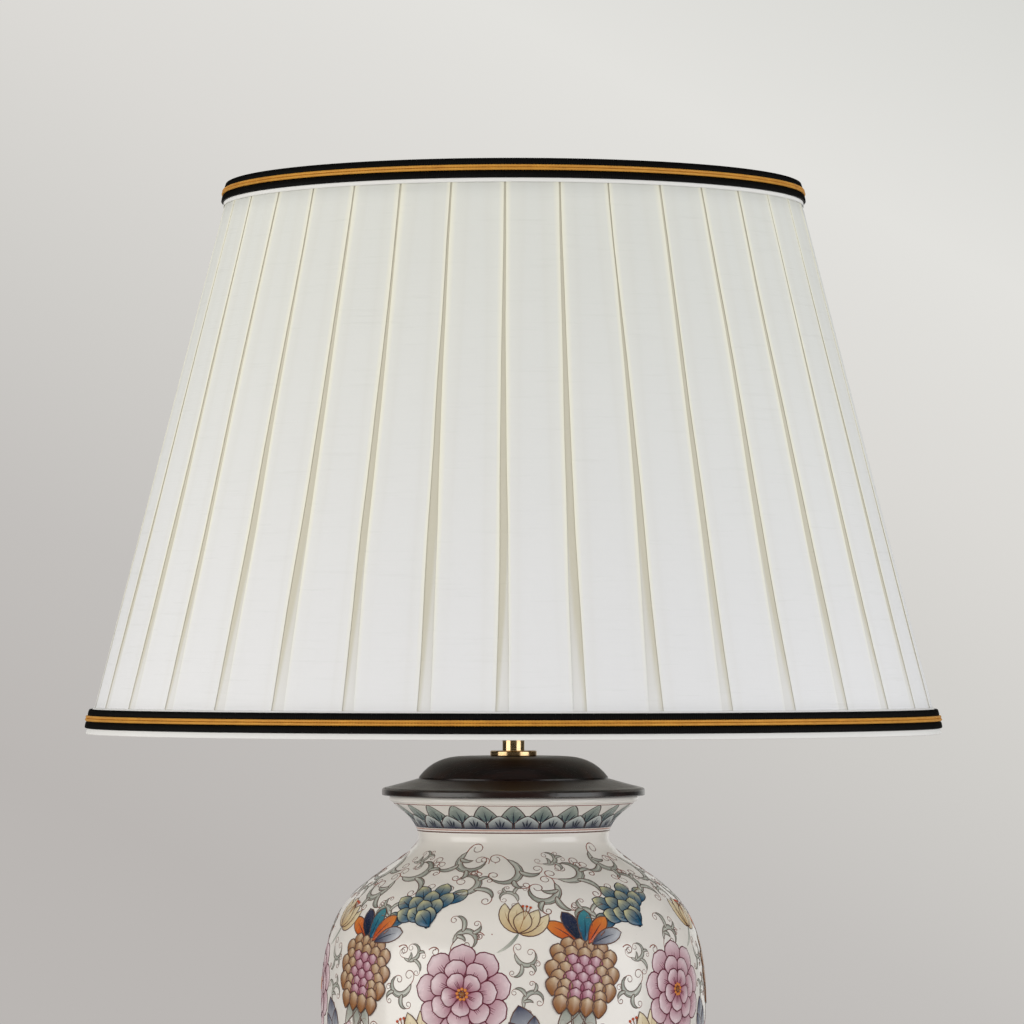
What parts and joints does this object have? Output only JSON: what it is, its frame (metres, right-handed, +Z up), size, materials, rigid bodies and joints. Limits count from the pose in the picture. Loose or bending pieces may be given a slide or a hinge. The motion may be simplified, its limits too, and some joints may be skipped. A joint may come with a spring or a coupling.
{
  "type": "table lamp",
  "caption": "Table lamp: painted porcelain jar on a turned wood plinth with a turned lid, brass lampholder and harp, and a box-pleated empire shade trimmed with braid.",
  "frame": {"origin": "centre of the felt pad's underside, on the table", "axes": "+Z up along the lamp's axis; -Y is the front with the switch knob; +Y is the back with the cord inlet; the harp lies in the XZ plane"},
  "size_m": [0.4577, 0.4576, 0.6768],
  "materials": {
    "felt": "matt felt",
    "dark_wood": "satin lacquer on dark brown wood",
    "black_plastic": "matt",
    "steel": "plated",
    "cork": "raw cork",
    "porcelain": "clear gloss glaze over painted decoration",
    "brass": "polished",
    "fibre": "plain",
    "phenolic": "moulded",
    "opal_glass": "frosted white",
    "nickel": "plated",
    "painted_wire": "white powder coat",
    "white_cloth": "plain weave",
    "pleat_cloth": "fine slubbed silk weave",
    "black_braid": "woven braid",
    "gold_braid": "lustrous twisted cord"
  },
  "bodies": {
    "base": {"felt_pad": "felt", "plinth": "dark_wood", "cord_bush": "black_plastic", "base_nut": "steel", "base_washer": "steel", "rod": "steel", "jar_seat": "cork", "jar": "porcelain", "lid": "dark_wood", "check_ring": "brass", "neck_tube": "brass", "harp_saddle": "brass", "harp": "brass", "socket_cap": "brass", "socket_shell": "brass", "socket_liner": "fibre", "socket_body": "phenolic", "screw_shell": "brass", "centre_contact": "brass", "bulb_glass": "opal_glass", "bulb_cap": "nickel", "bulb_contact": "brass"},
    "shade": {"swivel_stud": "brass", "finial": "brass", "spider": "painted_wire", "top_ring": "painted_wire", "bottom_ring": "painted_wire", "struts": "painted_wire", "lining": "white_cloth", "pleated_cover": "pleat_cloth", "top_binding": "white_cloth", "bottom_binding": "white_cloth", "top_braid": "black_braid", "bottom_braid": "black_braid", "top_gold_cord": "gold_braid", "bottom_gold_cord": "gold_braid"},
    "switch_key": {"switch_stem": "brass", "switch_knob": "black_plastic"},
    "ferrule_left": {"ferrule_left": "brass"},
    "ferrule_right": {"ferrule_right": "brass"}
  },
  "joints": [
    {"name": "shade_swivel", "type": "hinge", "parent": "base", "child": "shade", "pos_m": [0, 0, 0.65], "axis": [0, 0, 1], "continuous": true},
    {"name": "switch_turn", "type": "hinge", "parent": "base", "child": "switch_key", "pos_m": [0, -0.02, 0.4253], "axis": [0, -1, 0], "continuous": true},
    {"name": "ferrule_lift_left", "type": "slide", "parent": "base", "child": "ferrule_left", "axis": [0, 0, 1], "range_m": [0, 0.014]},
    {"name": "ferrule_lift_right", "type": "slide", "parent": "base", "child": "ferrule_right", "axis": [0, 0, 1], "range_m": [0, 0.014]}
  ]
}
